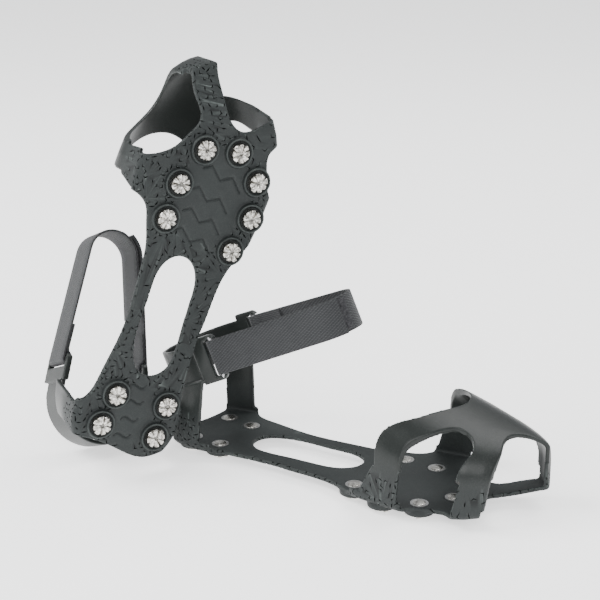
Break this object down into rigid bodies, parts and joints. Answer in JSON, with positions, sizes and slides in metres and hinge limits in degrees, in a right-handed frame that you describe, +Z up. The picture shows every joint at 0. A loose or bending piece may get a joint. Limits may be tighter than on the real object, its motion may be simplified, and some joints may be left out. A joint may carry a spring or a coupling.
{
  "type": "shoe ice cleats",
  "caption": "Pair of slip-on ice cleats: studded rubber sole plate with arms over the toe, heel arms and a hook-and-loop ankle strap, one lying, one standing on its heel.",
  "frame": {"origin": "on the floor, in the middle of the box round both cleats", "axes": "+Y from the left cleat's heel to its toe, +X to the left cleat's medial side, +Z up"},
  "size_m": [0.1534, 0.3596, 0.2774],
  "materials": {
    "elastomer": "matt moulded rubber",
    "gloss_elastomer": "semi-gloss stretched rubber",
    "webbing": "woven webbing",
    "hook_tape": "hook tape",
    "loop_tape": "loop tape",
    "bar_steel": "zinc plated wire",
    "stud_steel": "bright cast steel",
    "washer_steel": "plain steel"
  },
  "bodies": {
    "left_cleat": {"left_forefoot_plate": "elastomer", "left_heel_plate": "elastomer", "left_medial_rail": "elastomer", "left_lateral_rail": "elastomer", "left_rear_medial_arm": "gloss_elastomer", "left_front_medial_arm": "gloss_elastomer", "left_rear_lateral_arm": "gloss_elastomer", "left_toe_arm": "gloss_elastomer", "left_toe_web": "gloss_elastomer", "left_heel_medial_arm": "gloss_elastomer", "left_heel_lateral_arm": "gloss_elastomer", "left_ankle_band": "gloss_elastomer", "left_medial_ear": "elastomer", "left_lateral_ear": "elastomer", "left_strap_bars": "bar_steel", "left_forefoot_studs": "stud_steel", "left_heel_studs": "stud_steel", "left_stud_washers": "washer_steel"},
    "left_over_strap": {"left_over_strap": "webbing", "left_hook_patch": "hook_tape"},
    "left_under_strap": {"left_under_strap": "webbing", "left_loop_patch": "loop_tape"},
    "right_cleat": {"right_forefoot_plate": "elastomer", "right_heel_plate": "elastomer", "right_medial_rail": "elastomer", "right_lateral_rail": "elastomer", "right_rear_medial_arm": "gloss_elastomer", "right_front_medial_arm": "gloss_elastomer", "right_rear_lateral_arm": "gloss_elastomer", "right_toe_arm": "gloss_elastomer", "right_toe_web": "gloss_elastomer", "right_heel_medial_arm": "gloss_elastomer", "right_heel_lateral_arm": "gloss_elastomer", "right_ankle_band": "gloss_elastomer", "right_medial_ear": "elastomer", "right_lateral_ear": "elastomer", "right_strap_bars": "bar_steel", "right_forefoot_studs": "stud_steel", "right_heel_studs": "stud_steel", "right_stud_washers": "washer_steel"},
    "right_over_strap": {"right_over_strap": "webbing", "right_hook_patch": "hook_tape"},
    "right_under_strap": {"right_under_strap": "webbing", "right_loop_patch": "loop_tape"}
  },
  "joints": [
    {"name": "right_cleat_lift", "type": "slide", "parent": "left_cleat", "child": "right_cleat", "axis": [0, 0, 1], "range_m": [0, 0.25]},
    {"name": "left_over_strap_hinge", "type": "hinge", "parent": "left_cleat", "child": "left_over_strap", "pos_m": [-0.00676, -0.05061, 0.07635], "axis": [0, 0.4067, -0.9135], "range_deg": [0, 85]},
    {"name": "left_under_strap_hinge", "type": "hinge", "parent": "left_cleat", "child": "left_under_strap", "pos_m": [-0.06547, -0.05061, 0.07635], "axis": [0, -0.4067, 0.9135], "range_deg": [0, 65]},
    {"name": "right_over_strap_hinge", "type": "hinge", "parent": "right_cleat", "child": "right_over_strap", "pos_m": [-0.02112, -0.12857, 0.04751], "axis": [-0.4095, -0.8258, -0.3879], "range_deg": [0, 85]},
    {"name": "right_under_strap_hinge", "type": "hinge", "parent": "right_cleat", "child": "right_under_strap", "pos_m": [0.0253, -0.15988, 0.06517], "axis": [0.4095, 0.8258, 0.3879], "range_deg": [0, 65]}
  ]
}
